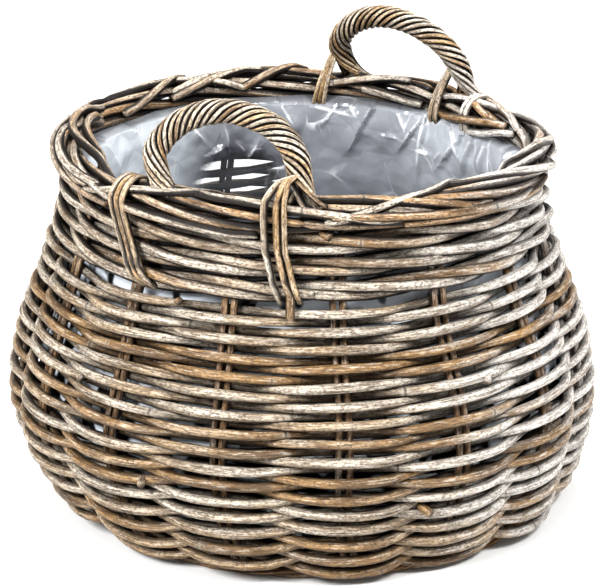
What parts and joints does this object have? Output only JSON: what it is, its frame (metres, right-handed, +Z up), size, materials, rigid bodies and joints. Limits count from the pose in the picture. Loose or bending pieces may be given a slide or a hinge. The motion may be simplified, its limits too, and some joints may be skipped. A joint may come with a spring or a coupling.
{
  "type": "rattan planter basket",
  "caption": "Round, bellied planter basket woven from rattan canes, with a rolled border, two fixed rope handles and a film liner.",
  "frame": {"origin": "centre of the basket at the level it stands on", "axes": "+Z up along the axis of the basket; -Y is the front, where the front handle is; +X to the right seen from the front"},
  "size_m": [0.5089, 0.5099, 0.3837],
  "materials": {
    "stake_cane": "dull brown rattan cane",
    "weaving_cane": "weathered tan and grey rattan cane with nodes and fibres",
    "wale_cane": "pale weathered rattan cane",
    "border_cane": "brown rattan cane, partly smooth",
    "handle_cane": "thin brown rattan canes twisted into a rope",
    "core_cane": "plain rattan cane",
    "lashing_cane": "thin brown rattan cane",
    "base_cane": "dull woven rattan cane",
    "liner_film": "clear hazy plastic film, creased"
  },
  "bodies": {
    "root": {"stake_pair_01": "stake_cane", "stake_pair_02": "stake_cane", "stake_pair_03": "stake_cane", "stake_pair_04": "stake_cane", "stake_pair_05": "stake_cane", "stake_pair_06": "stake_cane", "stake_pair_07": "stake_cane", "stake_pair_08": "stake_cane", "stake_pair_09": "stake_cane", "stake_pair_10": "stake_cane", "stake_pair_11": "stake_cane", "stake_pair_12": "stake_cane", "stake_pair_13": "stake_cane", "stake_pair_14": "stake_cane", "stake_pair_15": "stake_cane", "weaver_01": "weaving_cane", "weaver_02": "weaving_cane", "weaver_03": "weaving_cane", "weaver_04": "weaving_cane", "weaver_05": "weaving_cane", "weaver_06": "weaving_cane", "weaver_07": "weaving_cane", "weaver_08": "weaving_cane", "weaver_09": "weaving_cane", "weaver_10": "weaving_cane", "weaver_11": "weaving_cane", "weaver_12": "weaving_cane", "wale_round_1_cane_1": "wale_cane", "wale_round_1_cane_2": "wale_cane", "wale_round_1_cane_3": "wale_cane", "wale_round_2_cane_1": "wale_cane", "wale_round_2_cane_2": "wale_cane", "wale_round_2_cane_3": "wale_cane", "wale_round_3_cane_1": "wale_cane", "wale_round_3_cane_2": "wale_cane", "wale_round_3_cane_3": "wale_cane", "border_cane_1": "border_cane", "border_cane_2": "border_cane", "border_cane_3": "border_cane", "border_cane_4": "border_cane", "border_cane_5": "border_cane", "handle_rope_front": "handle_cane", "handle_core_front": "core_cane", "handle_rope_back": "handle_cane", "handle_core_back": "core_cane", "lashing_front_left": "lashing_cane", "lashing_front_right": "lashing_cane", "lashing_back_left": "lashing_cane", "lashing_back_right": "lashing_cane", "base_mat": "base_cane", "base_stick_lower": "base_cane", "base_stick_upper": "base_cane", "foot_wale": "base_cane", "liner": "liner_film"}
  },
  "joints": []
}
